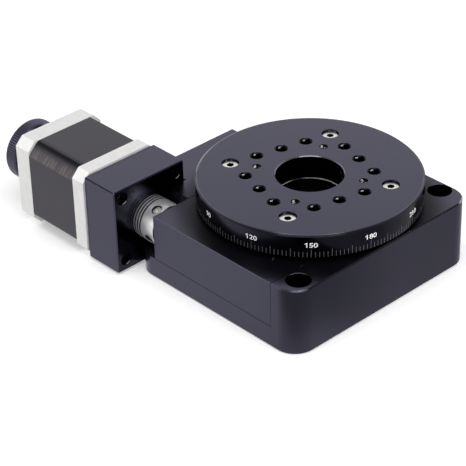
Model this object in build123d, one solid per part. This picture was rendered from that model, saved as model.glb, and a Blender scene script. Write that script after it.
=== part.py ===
from build123d import *
import math
import os

# Motorized rotation stage. Millimetres, +Z up. The origin is on the table's
# turning axis in the plane that the base rests on. +X runs along the worm
# towards its blind end, the motor is at -X and the worm housing at -Y.

# Base
base_height = 32.0
base_half_width = 50.0
base_back = 50.0
base_corner_radius = 10.0
edge_chamfer = 0.6
extension_back = 18.0
extension_setback = 1.5
worm_front_cover = 10.0
ledge_drop = 11.8
recess_length = 13.0
recess_gap = 1.0
wheel_side_gap = 1.0
wheel_floor_gap = 0.9
mount_bore_radius = 3.3
mount_counterbore_radius = 5.5
mount_counterbore_depth = 6.8
front_mount_inset_x = 7.5
front_mount_inset_y = 9.7
back_mount_inset_x = 13.4
back_mount_inset_y = 6.1

# Clearances
seat_clearance = 0.01
seam_clearance = 0.05
hole_clearance = 0.2
head_clearance = 0.4
running_gap = 0.05
screw_end_gap = 0.3

# Table
table_gap = 1.0
table_radius = 50.0
table_thickness = 11.0
table_bore_radius = 15.0
table_top_chamfer = 0.9
table_bottom_chamfer = 0.4
table_rest_angle = -15.0
table_tap_radius = 2.5
table_tap_mouth_radius = 3.1
table_hole_pitch = 12.5
table_screw_circle = 36.0
table_screw_sink = 1.0
grub_circle = 24.0
grub_length = 6.0
grub_sink = 1.3

# Hub below the table
flange_radius = 41.5
spigot_radius = 32.0
hub_shaft_radius = 20.0
hub_shoulder_radius = 22.5
hub_end_setback = 0.6

# Worm gear set
gear_module = 1.0
wheel_teeth = 90
worm_pitch_radius = 4.0
pressure_angle = 20.0
flank_clearance = 0.2
tip_clearance = 0.25
wheel_width = 10.0
worm_turns = 8
worm_axis_height = 22.0
wheel_screw_circle = 36.5
wheel_screw_cover = 1.8

# Main bearing, 40 x 62 x 12
main_outer_radius = 31.0
main_bottom = 2.6
main_ball_radius = 3.0
main_ball_count = 18
lip_thickness = 1.5
lip_lap = 2.5
clamp_ring_reach = 7.5
clamp_ring_lap = 3.5
clamp_screw_count = 6
bottom_sink = 0.2
hub_nut_width = 3.5
hub_nut_thickness = 2.0
hub_nut_slots = 4
hub_nut_slot_width = 3.0
hub_nut_slot_depth = 1.2

# Worm housing and worm bearings, 6 x 13 x 5
housing_end_block = 14.0
housing_end_wall = 2.7
housing_seam_chamfer = 0.25
worm_bearing_bore = 3.0
worm_bearing_radius = 6.5
worm_bearing_width = 5.0
worm_shoulder_radius = 4.0
worm_nut_thickness = 1.8
worm_nut_hole_radius = 4.6
worm_nut_slot_width = 1.5
worm_nut_slot_depth = 0.8
housing_screw_inset_left = 6.0
housing_screw_inset_right = 5.0
housing_screw_front_offset = 4.5
housing_screw_back_offset = 8.5
housing_screw_wall = 1.3

# Motor bracket, its screws placed from the worm's axis in Y and Z
bracket_length = 20.0
bracket_width = 40.6
bracket_top_step = 0.95
bracket_chamfer = 0.5
bracket_screw_offsets = [(15.7, -8.0), (15.7, 6.0), (5.0, -16.4)]
bracket_screw_bite = 4.4

# Coupling
coupling_radius = 10.0
coupling_length = 25.0
coupling_gap = 0.6
coupling_bore_gap = 1.05
coupling_slit_width = 0.5
coupling_slit_pitch = 1.6
coupling_slit_count = 6
coupling_web_start = 6.5
coupling_web_angle = 226.0
coupling_relief_radius = 3.6
set_screw_angle = 114.0
set_screw_inset = 3.5
set_screw_sink = 1.2
set_screw_mouth_radius = 2.5
set_screw_mouth_depth = 0.9

# Motor, 42.3 square, 48 long
motor_half_width = 21.15
motor_corner = 4.0
front_cap_length = 7.3
stator_length = 31.1
rear_cap_length = 9.0
stator_inset = 0.2
stator_corner_wall = 2.2
motor_hole_spacing = 31.0
motor_screw_bite = 3.4
motor_screw_sink = 4.5
body_screw_gap = 1.2
pilot_height = 2.0
motor_shaft_radius = 2.5
shaft_end_sink = 0.5
motor_bearing_radius = 8.0
motor_bearing_width = 5.0
cap_hole_radius = 4.0
cap_recess_inner = 10.0
cap_recess_depth = 3.6
yoke_radius = 18.6
yoke_cover = 0.1
pole_count = 8
pole_width = 5.2
pole_root_bite = 0.3
shoe_width = 8.0
shoe_depth = 1.6
stator_bore_radius = 13.4
coil_width = 8.6
coil_shoe_gap = 0.2
coil_yoke_gap = 1.0
coil_overhang = 2.2
air_gap = 0.3
rotor_cup_length = 11.0
magnet_length = 3.0
magnet_inset = 1.1

# Connector socket on the motor
socket_length = 7.8
socket_height = 16.0
socket_depth = 8.1
socket_wall = 0.9
socket_top_offset = 14.2
pin_count = 6
pin_pitch = 2.0
pin_size = 0.5
pin_height = 2.9

# Hand knob
knob_radius = 14.75
knob_thickness = 7.2
knob_gap = 11.1
knob_hub_radius = 6.0
knob_hub_length = 7.0
knob_groove_count = 80
knob_groove_depth = 0.4
knob_dish_radius = 10.5
knob_dish_depth = 1.2
knob_chamfer = 0.6

# Screws: shank radius, head radius, head height, socket width across flats
m3 = (1.5, 2.75, 3.0, 2.5)
m4 = (2.0, 3.5, 4.0, 3.0)
m3_flat_socket = 2.0
m3_flat_socket_depth = 1.2
m3_grub_socket = 1.5
m4_grub_socket = 2.0
grub_socket_depth = 2.0
clamp_countersunk_length = 8.0

# Shares of the ball's radius in every bearing, and the small bearings' balls
shoulder_share = 0.55
cage_width_share = 1.25
cage_wall_share = 0.22
small_ball_share = 0.25
small_ball_count = 7

# Heights that follow from the ones above
table_bottom = base_height + table_gap
table_top = table_bottom + table_thickness
table_screw_seat = table_top - table_screw_sink - m4[2]
wheel_bottom = worm_axis_height - wheel_width / 2
wheel_top = worm_axis_height + wheel_width / 2
wheel_screw_seat = wheel_bottom + bottom_sink + m4[2]
wheel_screw_tip = table_bottom - wheel_screw_cover
cavity_floor = wheel_bottom - wheel_floor_gap
main_top = cavity_floor - lip_thickness
hub_bottom = main_bottom - hub_nut_thickness + hub_end_setback
ledge_height = worm_axis_height - ledge_drop
bracket_bottom = worm_axis_height - motor_half_width - seam_clearance
bracket_top = worm_axis_height + motor_half_width - bracket_top_step
housing_screw_seat = bottom_sink + m4[2]
housing_screw_tip = worm_axis_height - worm_bearing_radius - housing_screw_wall

# Radii that follow
wheel_pitch_radius = gear_module * wheel_teeth / 2
cavity_radius = wheel_pitch_radius + gear_module + wheel_side_gap
worm_lead = math.pi * gear_module
main_bore_radius = hub_shaft_radius + seat_clearance
lip_radius = main_outer_radius - lip_lap
clamp_ring_radius = main_outer_radius + clamp_ring_reach
clamp_ring_inner_radius = main_outer_radius - clamp_ring_lap
clamp_screw_circle = (main_outer_radius + clamp_ring_radius) / 2
bracket_bore_radius = coupling_radius + coupling_bore_gap
pilot_radius = bracket_bore_radius - seam_clearance
stator_half_width = motor_half_width - stator_inset
motor_hole_reach = motor_hole_spacing / math.sqrt(2) + m3[0] + hole_clearance
stator_corner_radius = motor_hole_reach + stator_corner_wall
cap_recess_outer = yoke_radius - yoke_cover
coil_inner_radius = stator_bore_radius + shoe_depth + coil_shoe_gap
coil_outer_radius = yoke_radius - coil_yoke_gap
rotor_radius = stator_bore_radius - air_gap
magnet_radius = rotor_radius - magnet_inset

# Places along Y that follow
worm_axis_y = -(wheel_pitch_radius + worm_pitch_radius)
base_front = worm_axis_y - worm_front_cover
recess_back = worm_axis_y + coupling_radius + recess_gap
extension_front = worm_axis_y + bracket_width / 2 + seam_clearance

# Places along X that follow
housing_left = recess_length - base_half_width
housing_right = base_half_width - housing_end_block
housing_bore_end = housing_right - housing_end_wall
left_bearing_end = housing_left + bottom_sink + worm_nut_thickness
bracket_right = -base_half_width
bracket_left = bracket_right - bracket_length
extension_left = bracket_left + extension_setback
bracket_shank_cover = bracket_length - m4[2] - head_clearance
bracket_screw_length = bracket_shank_cover + bracket_screw_bite
motor_screw_seat = bracket_right - m3[2] - motor_screw_sink
motor_screw_length = motor_screw_seat - bracket_left + motor_screw_bite
coupling_right = housing_left - coupling_gap
coupling_left = coupling_right - coupling_length
coupling_middle = (coupling_left + coupling_right) / 2
slit_span = coupling_slit_pitch * (coupling_slit_count - 1)
coupling_hub_length = (coupling_length - slit_span - coupling_slit_width) / 2 - seam_clearance
front_cap_end = bracket_left - front_cap_length
stator_end = front_cap_end - stator_length
motor_end = stator_end - rear_cap_length
body_screw_seat = motor_end + m3[2] + bottom_sink
body_screw_end = motor_screw_seat - motor_screw_length - body_screw_gap
knob_right = motor_end - knob_gap
knob_left = knob_right - knob_thickness

# The drive line: local Z is world +X, local X is world +Y, local Y is world +Z.
drive_line = Plane(origin=(0, worm_axis_y, worm_axis_height), x_dir=(0, 1, 0), z_dir=(1, 0, 0))
table_turn = Rot(0, 0, table_rest_angle)

os.makedirs("parts", exist_ok=True)


def save(name, *pieces):
    """Write one node, a single solid or a group of separate solids."""
    solids = []
    for piece in pieces:
        solids.extend(piece.solids())
    shape = solids[0] if len(solids) == 1 else Compound(solids)
    export_step(shape, f"parts/{name}.step")


def on_drive_line(piece):
    """Place a piece that was made about its own Z on the drive line."""
    return drive_line.location * piece


def rod(radius, low, high):
    """A round bar about Z between two heights."""
    return Pos(0, 0, low) * Cylinder(radius, high - low, align=(Align.CENTER, Align.CENTER, Align.MIN))


def ring(outer, inner, low, high):
    """A round ring about Z between two heights."""
    return rod(outer, low, high) - rod(inner, low, high)


def block(x_low, x_high, y_low, y_high, z_low, z_high):
    """A rectangular block between two corners."""
    size = (x_high - x_low, y_high - y_low, z_high - z_low)
    return Pos(x_low, y_low, z_low) * Box(*size, align=(Align.MIN, Align.MIN, Align.MIN))


def turned(*outline):
    """Turn an outline of (radius, height) corners about Z."""
    corners = [(radius, 0, height) for radius, height in outline]
    return revolve(make_face(Polyline(*corners, close=True)), Axis.Z)


def corner_places(spacing):
    """The four corners of a square pattern."""
    return [Pos(x, y, 0) for x in (-spacing / 2, spacing / 2) for y in (-spacing / 2, spacing / 2)]


def circle_places(radius, count, first_angle=0.0):
    """Evenly spaced places round a circle, each turned to face outwards."""
    step = 360 / count
    return [Rot(0, 0, first_angle + step * i) * Pos(radius, 0, 0) for i in range(count)]


def cap_screw(size, length):
    """A socket-head screw: the head stands on z = 0 and the shank points down."""
    shank_radius, head_radius, head_height, across_flats = size
    screw = rod(head_radius, 0, head_height) + rod(shank_radius, -length, 0)
    return screw - hex_socket(across_flats, head_height / 2, head_height)


def hex_socket(across_flats, low, high):
    """The hexagonal hole for a key."""
    return Pos(0, 0, low) * extrude(RegularPolygon(across_flats / 2, 6, major_radius=False), high - low)


def bearing_inner_ring(bore, outer, ball, low, high):
    """Inner ring with a ball groove."""
    pitch = (bore + outer) / 2
    shoulder = pitch - ball * shoulder_share
    groove = Pos(0, 0, (low + high) / 2) * Torus(pitch, ball + running_gap)
    return ring(shoulder, bore, low, high) - groove


def bearing_outer_ring(bore, outer, ball, low, high):
    """Outer ring with a ball groove."""
    pitch = (bore + outer) / 2
    shoulder = pitch + ball * shoulder_share
    groove = Pos(0, 0, (low + high) / 2) * Torus(pitch, ball + running_gap)
    return ring(outer, shoulder, low, high) - groove


def bearing_balls(bore, outer, ball, count, low, high):
    """The set of balls, evenly spaced."""
    pitch = (bore + outer) / 2
    middle = Pos(0, 0, (low + high) / 2)
    return [middle * place * Sphere(ball) for place in circle_places(pitch, count)]


def bearing_cage(bore, outer, ball, count, low, high):
    """A thin ring with a radial pocket for each ball."""
    pitch = (bore + outer) / 2
    middle = (low + high) / 2
    half_width = min(ball * cage_width_share, (high - low) / 2 - running_gap)
    half_wall = ball * cage_wall_share
    cage = ring(pitch + half_wall, pitch - half_wall, middle - half_width, middle + half_width)
    pocket = Rot(0, 90, 0) * Cylinder(ball + running_gap, half_wall * 4)
    pockets = [Pos(0, 0, middle) * place * pocket for place in circle_places(pitch, count)]
    return cage - pockets


def base_body():
    """The base: a milled block with the wheel cavity, ledge, recess and fixing holes."""
    main_outline = Pos(0, (base_front + base_back) / 2) * RectangleRounded(
        2 * base_half_width, base_back - base_front, base_corner_radius)
    extension_outline = Pos(extension_left, extension_front) * Rectangle(
        base_half_width, extension_back - extension_front, align=(Align.MIN, Align.MIN))
    outline = main_outline + extension_outline
    body = extrude(outline, base_height)
    rims = body.edges().group_by(Axis.Z)
    body = chamfer(rims[0] + rims[-1], edge_chamfer)
    body -= rod(cavity_radius, cavity_floor, base_height)
    housing_pocket = block(housing_left - seam_clearance, housing_right + seam_clearance,
                           base_front, 0, ledge_height, base_height)
    body -= housing_pocket - rod(cavity_radius - seam_clearance, 0, cavity_floor)
    body -= block(-base_half_width, housing_left, base_front, recess_back, ledge_height, base_height)
    body -= rod(main_outer_radius + seat_clearance, 0, main_top)
    body -= rod(lip_radius, 0, cavity_floor)
    body -= rod(clamp_ring_radius + hole_clearance, 0, main_bottom)
    for place in circle_places(clamp_screw_circle, clamp_screw_count):
        body -= place * rod(m3[0], main_bottom, main_bottom + clamp_countersunk_length)
    for x, y in mount_places():
        body -= Pos(x, y) * rod(mount_bore_radius, 0, base_height)
        body -= Pos(x, y) * rod(mount_counterbore_radius, base_height - mount_counterbore_depth, base_height)
    for place in housing_screw_places():
        body -= place * rod(m4[0] + hole_clearance, 0, ledge_height)
        body -= place * rod(m4[1] + head_clearance, 0, housing_screw_seat)
    for place in bracket_screw_places(bracket_right):
        body -= place * rod(m4[0], 0, bracket_screw_bite + screw_end_gap)
    return body


def mount_places():
    """The three counterbored fixing holes of the base."""
    back_x = base_half_width - back_mount_inset_x
    back_y = base_back - back_mount_inset_y
    front = (base_half_width - front_mount_inset_x, base_front + front_mount_inset_y)
    return [front, (back_x, back_y), (-back_x, back_y)]


def housing_screw_places():
    """Places of the screws that hold the worm housing from below."""
    across = (housing_left + housing_screw_inset_left, housing_right - housing_screw_inset_right)
    along = (worm_axis_y - housing_screw_front_offset, worm_axis_y + housing_screw_back_offset)
    return [Pos(x, y) for x in across for y in along]


def bracket_screw_places(x):
    """Frames of the bracket screws at some X: local Z is world +X."""
    return [Pos(x, worm_axis_y + y, worm_axis_height + z) * Rot(0, 90, 0) for y, z in bracket_screw_offsets]


def worm_housing():
    """The block that carries the worm, bored from its left end and open to the wheel."""
    housing = block(housing_left, housing_right, base_front, 0, ledge_height, base_height)
    housing = chamfer(housing.edges().group_by(Axis.Y)[0], housing_seam_chamfer)
    top_edges = housing.faces().sort_by(Axis.Z)[-1].edges().filter_by(Axis.Y)
    housing = chamfer(top_edges, housing_seam_chamfer)
    housing -= rod(cavity_radius, 0, base_height)
    housing -= on_drive_line(rod(worm_bearing_radius + seat_clearance, housing_left, housing_bore_end))
    for place in housing_screw_places():
        housing -= place * rod(m4[0], ledge_height, housing_screw_tip + screw_end_gap)
    return housing


def housing_screws():
    """Screws from below the ledge into the worm housing."""
    length = housing_screw_tip - housing_screw_seat
    screw = Pos(0, 0, housing_screw_seat) * Rot(180, 0, 0) * cap_screw(m4, length)
    return [place * screw for place in housing_screw_places()]


def motor_bracket():
    """The thick plate between the motor and the base, bored for the coupling."""
    half_width = bracket_width / 2
    bracket = block(bracket_left, bracket_right, worm_axis_y - half_width, worm_axis_y + half_width,
                    bracket_bottom, bracket_top)
    bracket = chamfer(bracket.edges(), bracket_chamfer)
    bracket -= on_drive_line(rod(bracket_bore_radius, bracket_left, bracket_right))
    for place in corner_places(motor_hole_spacing):
        bracket -= on_drive_line(place * rod(m3[0] + hole_clearance, bracket_left, bracket_right))
        head = rod(m3[1] + hole_clearance, motor_screw_seat, bracket_right)
        bracket -= on_drive_line(place * head)
    for place in bracket_screw_places(bracket_left):
        bracket -= place * rod(m4[0] + hole_clearance, 0, bracket_length)
        bracket -= place * rod(m4[1] + hole_clearance, 0, m4[2] + head_clearance)
    return bracket


def bracket_screws():
    """Screws through the bracket into the base, their heads hidden by the motor."""
    screw = Pos(0, 0, m4[2] + head_clearance) * Rot(180, 0, 0) * cap_screw(m4, bracket_screw_length)
    return [place * screw for place in bracket_screw_places(bracket_left)]


def rotary_table():
    """The graduated disc with its bore, tapped holes and screw counterbores."""
    table = turned(
        (table_bore_radius, table_bottom),
        (table_radius - table_bottom_chamfer, table_bottom),
        (table_radius, table_bottom + table_bottom_chamfer),
        (table_radius, table_top - table_top_chamfer),
        (table_radius - table_top_chamfer, table_top),
        (table_bore_radius + table_bottom_chamfer, table_top),
        (table_bore_radius, table_top - table_bottom_chamfer),
    )
    mouth_depth = table_tap_mouth_radius - table_tap_radius
    tapped = rod(table_tap_radius, table_bottom, table_top)
    tapped += turned((0, table_top - mouth_depth), (table_tap_radius, table_top - mouth_depth),
                     (table_tap_mouth_radius, table_top), (0, table_top))
    for quarter in range(4):
        for across in (-table_hole_pitch, 0, table_hole_pitch):
            table -= Rot(0, 0, 90 * quarter) * Pos(2 * table_hole_pitch, across, 0) * tapped
    for place in circle_places(grub_circle, 4, 45):
        table -= place * rod(m4[0], table_bottom, table_top)
    for place in circle_places(table_screw_circle, 4, 45):
        table -= place * rod(m4[0] + hole_clearance, table_bottom, table_top)
        table -= place * rod(m4[1] + head_clearance, table_screw_seat, table_top)
    return table_turn * table


def table_screws():
    """Screws from the table's top into the hub flange."""
    screw = Pos(0, 0, table_screw_seat) * cap_screw(m4, table_screw_seat - wheel_top)
    return [table_turn * place * screw for place in circle_places(table_screw_circle, 4, 45)]


def table_grub_screws():
    """Socket grub screws in the table's inner circle."""
    top = table_top - grub_sink
    grub = rod(m4[0], top - grub_length, top) - hex_socket(m4_grub_socket, top - grub_socket_depth, top)
    return [table_turn * place * grub for place in circle_places(grub_circle, 4, 45)]


def table_hub():
    """The stepped hub that carries the table and the wheel in the main bearing."""
    hub = turned(
        (table_bore_radius, hub_bottom),
        (hub_shaft_radius, hub_bottom),
        (hub_shaft_radius, main_top),
        (hub_shoulder_radius, main_top),
        (hub_shoulder_radius, wheel_bottom),
        (spigot_radius, wheel_bottom),
        (spigot_radius, wheel_top),
        (flange_radius, wheel_top),
        (flange_radius, table_bottom),
        (table_bore_radius, table_bottom),
    )
    for place in circle_places(table_screw_circle, 4, 45):
        hub -= table_turn * place * rod(m4[0], wheel_top, table_bottom)
    for place in circle_places(wheel_screw_circle, 4):
        hub -= table_turn * place * rod(m4[0], wheel_top, wheel_screw_tip + screw_end_gap)
    return hub


def worm_wheel():
    """The worm wheel: straight teeth laid at the worm's lead angle round a ring."""
    lean = worm_lead / (2 * math.pi * worm_pitch_radius)
    slope = math.tan(math.radians(pressure_angle))
    half_tooth = worm_lead / 4 - flank_clearance / 2
    tip_radius = wheel_pitch_radius + gear_module
    root_radius = wheel_pitch_radius - gear_module - tip_clearance
    foot_radius = root_radius - tip_clearance
    half_foot = half_tooth + slope * (wheel_pitch_radius - foot_radius)
    half_tip = half_tooth - slope * gear_module
    start = -lean * wheel_width / 2
    corners = [(foot_radius, start - half_foot, wheel_bottom), (tip_radius, start - half_tip, wheel_bottom),
               (tip_radius, start + half_tip, wheel_bottom), (foot_radius, start + half_foot, wheel_bottom)]
    profile = make_face(Polyline(*corners, close=True))
    reach = Vector(0, lean * wheel_width, wheel_width)
    tooth = extrude(profile, reach.length, dir=reach.normalized())
    tooth_step = 360 / wheel_teeth
    first = -90 + tooth_step / 2
    teeth = [Rot(0, 0, first + tooth_step * i) * tooth for i in range(wheel_teeth)]
    wheel = ring(root_radius, spigot_radius + seat_clearance, wheel_bottom, wheel_top) + teeth
    for place in circle_places(wheel_screw_circle, 4):
        wheel -= table_turn * place * rod(m4[0] + hole_clearance, wheel_bottom, wheel_top)
        wheel -= table_turn * place * rod(m4[1] + head_clearance, wheel_bottom, wheel_screw_seat)
    return wheel


def wheel_screws():
    """Screws from below the wheel into the hub flange."""
    screw = Pos(0, 0, wheel_screw_seat) * Rot(180, 0, 0) * cap_screw(m4, wheel_screw_tip - wheel_screw_seat)
    return [table_turn * place * screw for place in circle_places(wheel_screw_circle, 4)]


def hub_nut():
    """The slotted ring nut below the main bearing's inner ring."""
    outer = hub_shaft_radius + hub_nut_width
    nut = ring(outer, main_bore_radius, main_bottom - hub_nut_thickness, main_bottom)
    slot = block(-hub_nut_slot_depth, hub_nut_slot_depth, -hub_nut_slot_width / 2, hub_nut_slot_width / 2,
                 0, main_bottom)
    for place in circle_places(outer, hub_nut_slots):
        nut -= place * slot
    return nut


def clamp_ring():
    """The ring that holds the main bearing's outer ring from below."""
    plate = ring(clamp_ring_radius, clamp_ring_inner_radius, bottom_sink, main_bottom)
    for place in circle_places(clamp_screw_circle, clamp_screw_count):
        plate -= place * rod(m3[0] + hole_clearance, bottom_sink, main_bottom)
        plate -= place * countersink(bottom_sink)
    return plate


def countersink(low):
    """The cone of a countersunk head, widest at its low end."""
    head_height = m3[1] - m3[0]
    return Pos(0, 0, low) * turned((0, 0), (m3[1], 0), (m3[0], head_height), (0, head_height))


def clamp_ring_screws():
    """Countersunk screws that hold the clamp ring."""
    tip = main_bottom + clamp_countersunk_length - screw_end_gap
    screw = countersink(bottom_sink) + rod(m3[0], bottom_sink, tip)
    screw -= hex_socket(m3_flat_socket, bottom_sink, bottom_sink + m3_flat_socket_depth)
    return [place * screw for place in circle_places(clamp_screw_circle, clamp_screw_count)]


def worm_shaft():
    """The worm and its shaft in one piece, with a right-hand single-start thread."""
    left_journal_end = left_bearing_end + worm_bearing_width
    right_journal_start = housing_bore_end - screw_end_gap - worm_bearing_width
    half_thread = worm_turns * worm_lead / 2
    core_radius = worm_pitch_radius - gear_module - tip_clearance
    run_out = half_thread + gear_module
    shaft = turned(
        (0, coupling_right - coupling_hub_length),
        (worm_bearing_bore, coupling_right - coupling_hub_length),
        (worm_bearing_bore, left_journal_end),
        (worm_shoulder_radius, left_journal_end),
        (worm_shoulder_radius, -run_out - gear_module),
        (core_radius, -run_out),
        (core_radius, run_out),
        (worm_shoulder_radius, run_out + gear_module),
        (worm_shoulder_radius, right_journal_start),
        (worm_bearing_bore, right_journal_start),
        (worm_bearing_bore, right_journal_start + worm_bearing_width),
        (0, right_journal_start + worm_bearing_width),
    )
    slope = math.tan(math.radians(pressure_angle))
    half_pitch_width = worm_lead / 4 - flank_clearance / 2
    foot_radius = core_radius - tip_clearance / 2
    tip_radius = worm_pitch_radius + gear_module
    half_foot = half_pitch_width + slope * (worm_pitch_radius - foot_radius)
    half_tip = half_pitch_width - slope * gear_module
    corners = [(foot_radius, 0, -half_thread - half_foot), (tip_radius, 0, -half_thread - half_tip),
               (tip_radius, 0, -half_thread + half_tip), (foot_radius, 0, -half_thread + half_foot)]
    profile = make_face(Polyline(*corners, close=True))
    path = Pos(0, 0, -half_thread) * Helix(worm_lead, 2 * half_thread, worm_pitch_radius)
    thread = sweep(profile, path=path, is_frenet=True)
    return on_drive_line(shaft + thread)


def worm_bearing_spans():
    """The low and high ends of both worm bearings along the drive line."""
    right_end = housing_bore_end - screw_end_gap
    return [(left_bearing_end, left_bearing_end + worm_bearing_width),
            (right_end - worm_bearing_width, right_end)]


def motor_bearing_spans():
    """The low and high ends of both motor bearings along the drive line."""
    return [(front_cap_end, front_cap_end + motor_bearing_width),
            (stator_end - motor_bearing_width, stator_end)]


def small_ball(bore, outer):
    """Ball radius of a small bearing."""
    return small_ball_share * (bore + outer) / 2


def worm_bearing_nut():
    """The ring nut that closes the housing's bore."""
    low = housing_left + bottom_sink
    nut = ring(worm_bearing_radius, worm_nut_hole_radius, low, left_bearing_end)
    slot = block(-worm_bearing_radius, worm_bearing_radius, -worm_nut_slot_width / 2, worm_nut_slot_width / 2,
                 low, low + worm_nut_slot_depth)
    return on_drive_line(nut - slot)


def coupling():
    """A one-piece slit coupling with two set screws in each hub."""
    body = rod(coupling_radius, coupling_left, coupling_right)
    body = chamfer(body.edges(), edge_chamfer / 2)
    body -= rod(worm_bearing_bore + seat_clearance, coupling_middle, coupling_right)
    body -= rod(motor_shaft_radius + seat_clearance, coupling_left, coupling_middle)
    relief_half = slit_span / 2 + coupling_slit_width
    body -= rod(coupling_relief_radius, coupling_middle - relief_half, coupling_middle + relief_half)
    slit = block(-2 * coupling_radius, coupling_web_start, -2 * coupling_radius, 2 * coupling_radius,
                 -coupling_slit_width / 2, coupling_slit_width / 2)
    for i in range(coupling_slit_count):
        height = coupling_middle - slit_span / 2 + coupling_slit_pitch * i
        body -= Pos(0, 0, height) * Rot(0, 0, coupling_web_angle + 180 * (i % 2)) * slit
    mouth_seat = coupling_radius - set_screw_mouth_depth
    for place, _ in set_screw_places():
        body -= place * rod(m4[0], 0, 2 * coupling_radius)
        body -= place * rod(set_screw_mouth_radius, mouth_seat, 2 * coupling_radius)
    return on_drive_line(body)


def set_screw_places():
    """Frames of the coupling's set screws, local Z outwards, each with the radius of its shaft."""
    hubs = ((coupling_right - set_screw_inset, worm_bearing_bore),
            (coupling_left + set_screw_inset, motor_shaft_radius))
    return [(Pos(0, 0, height) * Rot(0, 0, set_screw_angle + turn) * Rot(0, 90, 0), shaft)
            for height, shaft in hubs for turn in (0, 90)]


def coupling_screws():
    """Two socket set screws in each hub of the coupling, a quarter turn apart."""
    high = coupling_radius - set_screw_sink
    socket = hex_socket(m4_grub_socket, high - grub_socket_depth, high)
    return [on_drive_line(place * (rod(m4[0], shaft + seat_clearance, high) - socket))
            for place, shaft in set_screw_places()]


def square_bar(half_width, low, high):
    """A square bar about Z between two heights."""
    return block(-half_width, half_width, -half_width, half_width, low, high)


def motor_cap(low, high):
    """The outer form of a motor cap: a square bar with its four long edges cut off."""
    bar = square_bar(motor_half_width, low, high)
    return chamfer(bar.edges().filter_by(Axis.Z), motor_corner)


def motor_front_cap():
    """The cast front cap with its pilot, bearing seat and tapped corner holes."""
    cap = motor_cap(front_cap_end, bracket_left)
    cap += rod(pilot_radius, bracket_left, bracket_left + pilot_height)
    cap -= rod(cap_hole_radius, front_cap_end, bracket_left + pilot_height)
    cap -= rod(motor_bearing_radius + seat_clearance, front_cap_end, front_cap_end + motor_bearing_width)
    cap -= ring(cap_recess_outer, cap_recess_inner, front_cap_end, front_cap_end + cap_recess_depth)
    for place in corner_places(motor_hole_spacing):
        cap -= place * rod(m3[0], front_cap_end, bracket_left)
    return on_drive_line(cap)


def motor_rear_cap():
    """The cast rear cap with counterbored corner holes and an open shaft hole."""
    cap = motor_cap(motor_end, stator_end)
    cap -= rod(cap_hole_radius, motor_end, stator_end)
    cap -= rod(motor_bearing_radius + seat_clearance, stator_end - motor_bearing_width, stator_end)
    cap -= ring(cap_recess_outer, cap_recess_inner, stator_end - cap_recess_depth, stator_end)
    for place in corner_places(motor_hole_spacing):
        cap -= place * rod(m3[0] + hole_clearance, motor_end, stator_end)
        cap -= place * rod(m3[1] + hole_clearance, motor_end, body_screw_seat)
    return on_drive_line(cap)


def motor_stator():
    """The laminated stack: a square ring with round corners and eight inward poles."""
    stack = square_bar(stator_half_width, stator_end, front_cap_end)
    stack &= rod(stator_corner_radius, stator_end, front_cap_end)
    stack -= rod(yoke_radius, stator_end, front_cap_end)
    pole = block(stator_bore_radius, yoke_radius + pole_root_bite, -pole_width / 2, pole_width / 2,
                 stator_end, front_cap_end)
    shoe = block(rotor_radius, stator_bore_radius + shoe_depth, -shoe_width / 2, shoe_width / 2,
                 stator_end, front_cap_end)
    poles = [Rot(0, 0, 360 / pole_count * i) * (pole + shoe) for i in range(pole_count)]
    stack = stack + poles
    stack -= rod(stator_bore_radius, stator_end, front_cap_end)
    for place in corner_places(motor_hole_spacing):
        stack -= place * rod(m3[0] + hole_clearance, stator_end, front_cap_end)
    return on_drive_line(stack)


def motor_coils():
    """One coil round each pole."""
    low = stator_end - coil_overhang
    high = front_cap_end + coil_overhang
    coil = block(coil_inner_radius, coil_outer_radius, -coil_width / 2, coil_width / 2, low, high)
    coil -= block(0, 2 * yoke_radius, -pole_width / 2, pole_width / 2, stator_end, front_cap_end)
    return [on_drive_line(Rot(0, 0, 360 / pole_count * i) * coil) for i in range(pole_count)]


def motor_body_screws():
    """Long screws that hold the caps and the stator together."""
    length = body_screw_end - body_screw_seat
    screw = Pos(0, 0, body_screw_seat) * Rot(180, 0, 0) * cap_screw(m3, length)
    return [on_drive_line(place * screw) for place in corner_places(motor_hole_spacing)]


def motor_mounting_screws():
    """Screws from the bracket's open face into the motor's front cap."""
    screw = Pos(0, 0, motor_screw_seat) * cap_screw(m3, motor_screw_length)
    return [on_drive_line(place * screw) for place in corner_places(motor_hole_spacing)]


def motor_shaft():
    """The shaft that runs from the coupling through the motor to the knob."""
    low = knob_left + knob_dish_depth + shaft_end_sink
    high = coupling_left + coupling_hub_length
    return on_drive_line(chamfer(rod(motor_shaft_radius, low, high).edges(), edge_chamfer / 2))


def motor_rotor():
    """The rotor's two iron cups."""
    middle = (front_cap_end + stator_end) / 2
    half_magnet = magnet_length / 2
    bore = motor_shaft_radius + seat_clearance
    cups = [ring(rotor_radius, bore, middle + half_magnet, middle + half_magnet + rotor_cup_length),
            ring(rotor_radius, bore, middle - half_magnet - rotor_cup_length, middle - half_magnet)]
    return [on_drive_line(cup) for cup in cups]


def rotor_magnet():
    """The disc magnet between the rotor's cups."""
    middle = (front_cap_end + stator_end) / 2
    half_magnet = magnet_length / 2
    return on_drive_line(ring(magnet_radius, motor_shaft_radius + seat_clearance,
                              middle - half_magnet, middle + half_magnet))


def socket_box():
    """Low and high corners of the connector socket."""
    y_low = worm_axis_y + stator_half_width
    z_low = worm_axis_height + socket_top_offset - socket_height
    high = (stator_end + socket_length, y_low + socket_depth, z_low + socket_height)
    return (stator_end, y_low, z_low), high


def connector_socket():
    """The plastic connector socket on the side of the stator."""
    low, high = socket_box()
    shell = block(low[0], high[0], low[1], high[1], low[2], high[2])
    return shell - block(low[0] + socket_wall, high[0] - socket_wall, low[1] + socket_wall, high[1],
                         low[2] + socket_wall, high[2] - socket_wall)


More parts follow.
